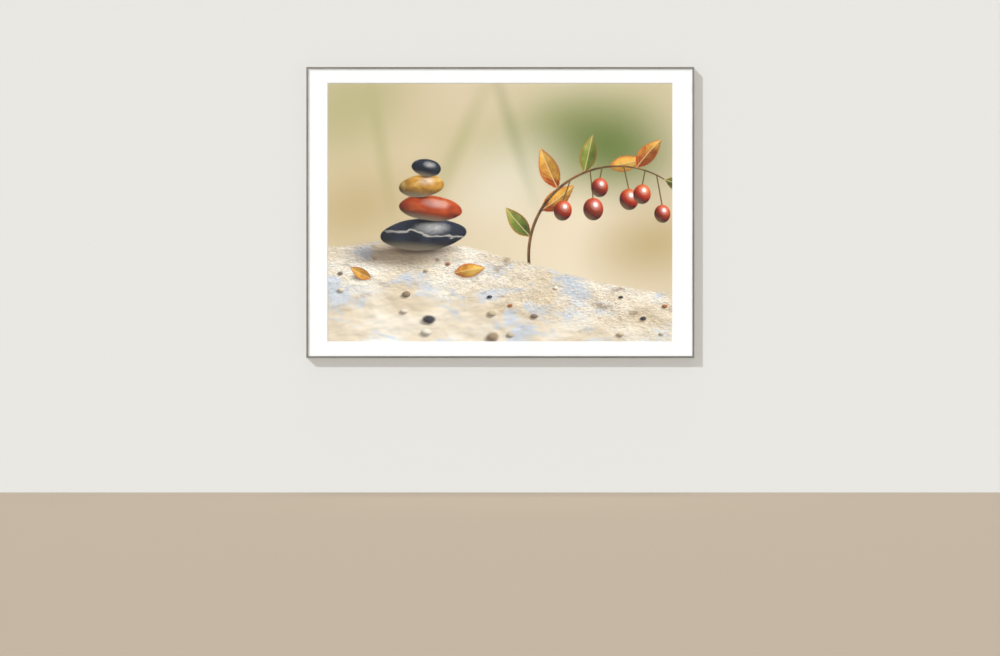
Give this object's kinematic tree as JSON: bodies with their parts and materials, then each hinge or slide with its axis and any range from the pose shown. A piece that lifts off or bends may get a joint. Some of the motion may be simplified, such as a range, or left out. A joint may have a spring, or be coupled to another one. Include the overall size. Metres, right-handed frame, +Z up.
{
  "type": "framed picture",
  "caption": "Slim metal picture frame with glass, a bevelled white window mat and a printed nature scene, closed by a sprung backing board, for hanging on a wall.",
  "frame": {"origin": "centre of the frame's outline, on the surface of the wall that it hangs on", "axes": "+X to the viewer's right, +Y from the picture to the wall, +Z up"},
  "size_m": [1.016, 0.026, 0.762],
  "materials": {
    "anodised_aluminium": "warm grey, brushed along each rail and anodised satin",
    "glass": "clear, polished, low reflection",
    "mat_board": "bright white, matt, with a cut bevel",
    "print_paper": null,
    "hardboard": "brown hardboard, smooth side out",
    "zinc_plated_steel": "bright zinc plating",
    "spring_steel": "blued, slightly oily spring steel",
    "rubber": "matt dark rubber"
  },
  "bodies": {
    "root": {"glazing": "glass", "window_mat": "mat_board", "print": "print_paper", "backing_board": "hardboard", "rail_left": "anodised_aluminium", "rail_top": "anodised_aluminium", "rail_right": "anodised_aluminium", "rail_bottom": "anodised_aluminium", "corner_angle_bottom_left": "zinc_plated_steel", "corner_angle_top_left": "zinc_plated_steel", "corner_angle_top_right": "zinc_plated_steel", "corner_angle_bottom_right": "zinc_plated_steel", "set_screw_bottom_left_1": "zinc_plated_steel", "set_screw_bottom_left_2": "zinc_plated_steel", "set_screw_top_left_1": "zinc_plated_steel", "set_screw_top_left_2": "zinc_plated_steel", "set_screw_top_right_1": "zinc_plated_steel", "set_screw_top_right_2": "zinc_plated_steel", "set_screw_bottom_right_1": "zinc_plated_steel", "set_screw_bottom_right_2": "zinc_plated_steel", "bow_spring_left_1": "spring_steel", "bow_spring_left_2": "spring_steel", "bow_spring_top_1": "spring_steel", "bow_spring_top_2": "spring_steel", "bow_spring_top_3": "spring_steel", "bow_spring_right_1": "spring_steel", "bow_spring_right_2": "spring_steel", "bow_spring_bottom_1": "spring_steel", "bow_spring_bottom_2": "spring_steel", "bow_spring_bottom_3": "spring_steel", "hanger_left": "zinc_plated_steel", "hanger_right": "zinc_plated_steel", "bumper_top_1": "rubber", "bumper_top_2": "rubber", "bumper_bottom_1": "rubber", "bumper_bottom_2": "rubber"}
  },
  "joints": []
}
